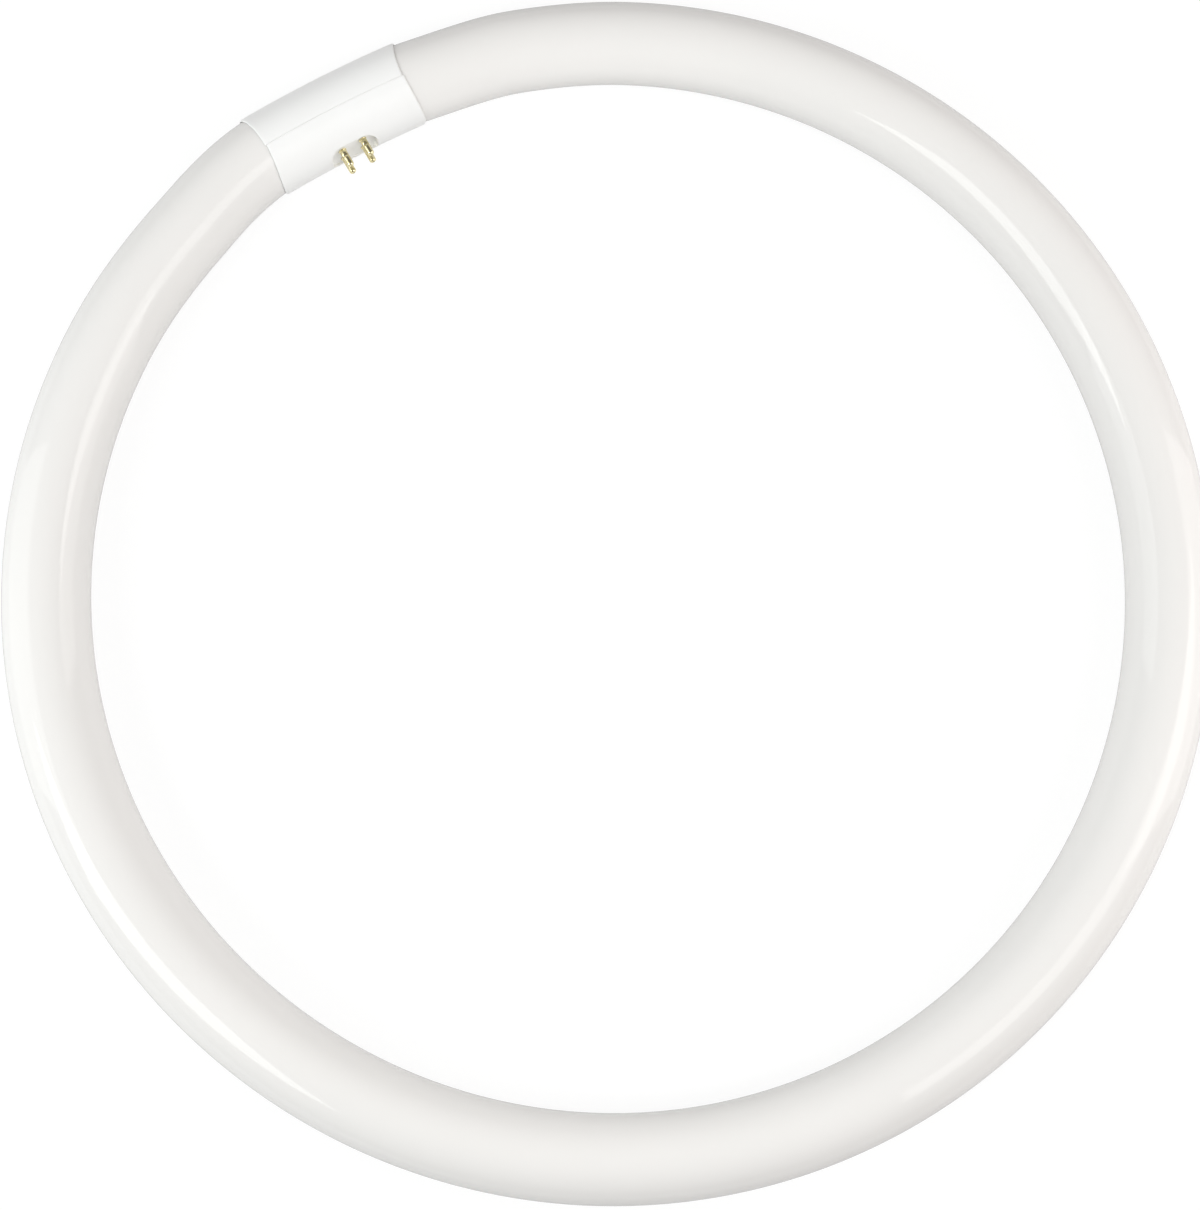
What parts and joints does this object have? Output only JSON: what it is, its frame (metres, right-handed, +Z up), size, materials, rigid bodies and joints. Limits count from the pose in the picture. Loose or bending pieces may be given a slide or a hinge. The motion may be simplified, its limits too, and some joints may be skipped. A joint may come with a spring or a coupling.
{
  "type": "circular fluorescent tube",
  "caption": "Ring-shaped fluorescent lamp: a white-coated glass tube bent to a circle, its sealed ends joined by a moulded base with brass contact pins that point to the centre.",
  "frame": {"origin": "centre of the ring, on the plane that the lamp lies on", "axes": "+Z up, through the ring; +Y from the ring's centre to the middle of the base; the contact pins point along -Y"},
  "size_m": [0.406, 0.4048, 0.03],
  "materials": {
    "coated_glass": "smooth clear glass over a white inner coating, glossy",
    "base_plastic": "moulded white plastic, satin",
    "pin_brass": "drawn brass, bright",
    "wire_metal": "drawn nickel-iron wire"
  },
  "bodies": {
    "root": {"glass_tube": "coated_glass", "base_outer_shell": "base_plastic", "base_pin_shell": "base_plastic", "pin_1": "pin_brass", "pin_2": "pin_brass", "pin_3": "pin_brass", "pin_4": "pin_brass", "lead_wire_1": "wire_metal", "lead_wire_2": "wire_metal", "lead_wire_3": "wire_metal", "lead_wire_4": "wire_metal"}
  },
  "joints": []
}
